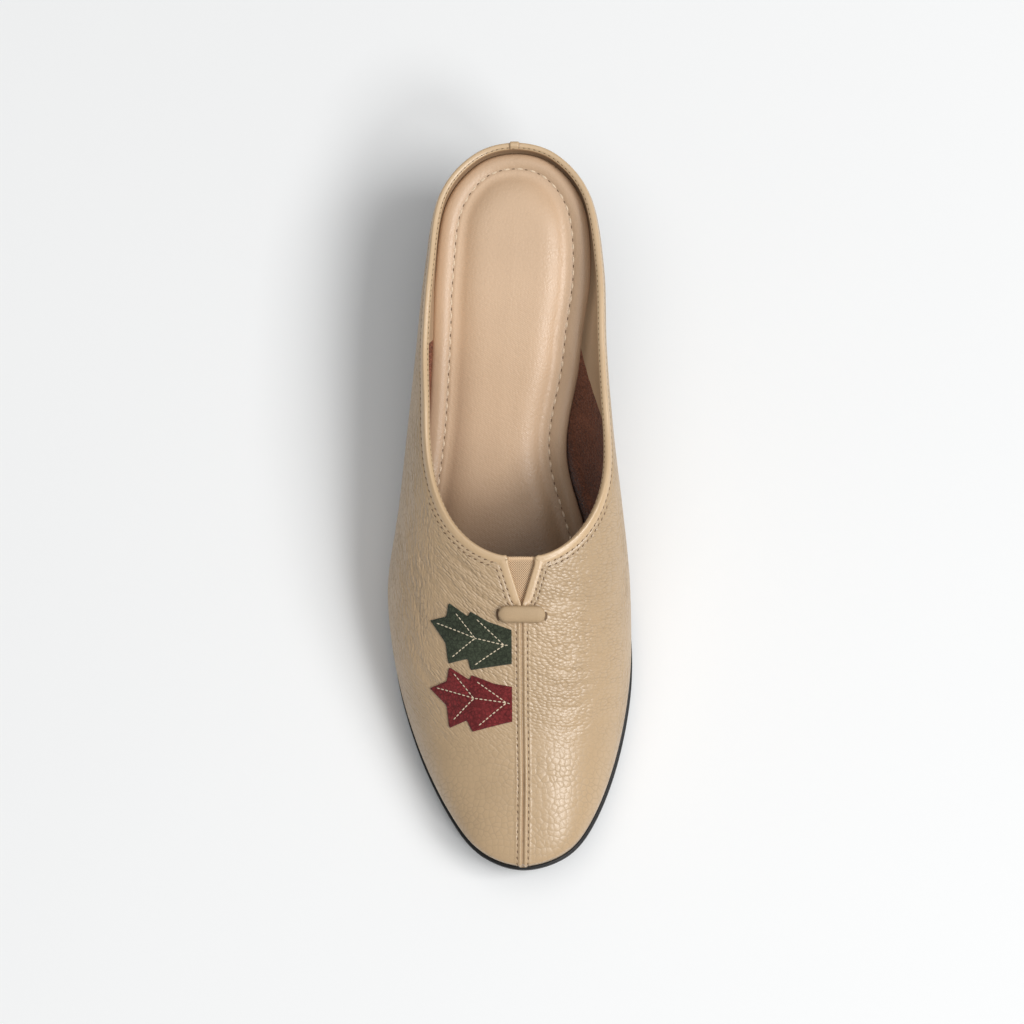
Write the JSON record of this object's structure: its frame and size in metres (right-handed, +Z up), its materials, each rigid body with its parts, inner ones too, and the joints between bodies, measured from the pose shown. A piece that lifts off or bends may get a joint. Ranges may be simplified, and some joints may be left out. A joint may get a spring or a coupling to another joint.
{
  "type": "block heel mule",
  "caption": "Slip-on leather mule with an almond toe, low back rim, elastic notch at the throat, sewn leaf ornaments, padded insole and a block heel.",
  "frame": {"origin": "on the floor, under the middle of the shoe's bounding box", "axes": "+Z up, toe along -Y, heel along +Y, +X towards the inner side of the right foot"},
  "size_m": [0.0826, 0.2412, 0.0584],
  "materials": {
    "leather": "pebbled, soft sheen",
    "insole": "smooth, soft sheen",
    "elastic": "ribbed weave",
    "leaf_green": "suede",
    "leaf_red": "suede",
    "sole": "matte"
  },
  "bodies": {
    "root": {"outsole": "sole", "heel_block": "sole", "insole": "insole", "upper": "leather", "elastic_gore": "elastic", "vamp_loop": "leather", "leaf_green": "leaf_green", "leaf_red": "leaf_red"}
  },
  "joints": []
}
